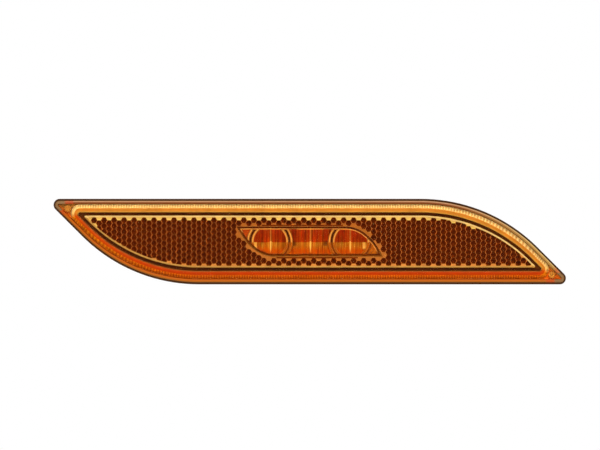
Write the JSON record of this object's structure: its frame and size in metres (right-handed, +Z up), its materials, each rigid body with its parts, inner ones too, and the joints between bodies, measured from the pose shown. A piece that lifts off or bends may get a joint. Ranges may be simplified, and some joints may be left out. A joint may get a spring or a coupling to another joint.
{
  "type": "side marker lamp",
  "caption": "Amber side marker lamp with a honeycomb reflex field round a three-cup lamp window, in a clip-in housing.",
  "frame": {"origin": "middle of the lamp on the face of the panel, where the gasket is pressed on", "axes": "+X along the lamp to the right in the picture, +Y into the panel, +Z up; the lens looks towards -Y"},
  "size_m": [0.2, 0.0354, 0.0334],
  "materials": {
    "amber_lens": "clear gloss",
    "amber_trim": "gloss",
    "amber_pad": "clear gloss",
    "mirror_plastic": "mirror",
    "board": "satin",
    "light_source": "satin",
    "chip_black": "matte",
    "can": "satin",
    "tinned_blade": "satin",
    "zinc_screw": "satin",
    "black_plastic": "matte",
    "foam": "matte",
    "membrane": "matte",
    "spring_steel": "satin"
  },
  "bodies": {
    "root": {"lens": "amber_lens", "trim_ring": "amber_trim", "reflex_reflector": "amber_pad", "lamp_reflector": "mirror_plastic", "circuit_board": "board", "led_1": "light_source", "led_2": "light_source", "led_3": "light_source", "resistor_1": "chip_black", "resistor_2": "chip_black", "resistor_3": "chip_black", "diode": "chip_black", "surge_suppressor": "chip_black", "capacitor": "can", "terminal_positive": "tinned_blade", "terminal_negative": "tinned_blade", "screw_left": "zinc_screw", "screw_right": "zinc_screw", "housing": "black_plastic", "gasket": "foam", "vent_membrane": "membrane", "spring_clip": "spring_steel"}
  },
  "joints": []
}
